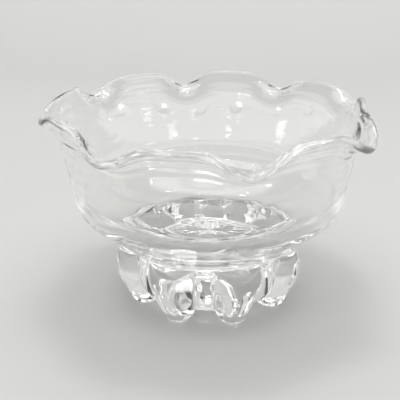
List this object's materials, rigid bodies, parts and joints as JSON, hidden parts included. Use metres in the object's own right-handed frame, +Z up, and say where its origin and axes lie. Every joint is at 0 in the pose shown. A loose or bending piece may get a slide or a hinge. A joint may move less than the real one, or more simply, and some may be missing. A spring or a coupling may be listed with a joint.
{
  "type": "footed glass dessert bowl",
  "caption": "Footed dessert bowl in clear pressed glass, with a hand ruffled lip turned outwards and a lobed foot that ends in small toes.",
  "frame": {"origin": "on the bowl's axis, in the plane of the toes that it stands on", "axes": "+Z up along the bowl's axis; +X and +Y each point at a valley between two lobes of the foot, and -Y is the side that faces the camera in the picture"},
  "size_m": [0.1161, 0.1198, 0.0756],
  "materials": {
    "glass": "polished"
  },
  "bodies": {
    "root": {"bowl": "glass"}
  },
  "joints": []
}
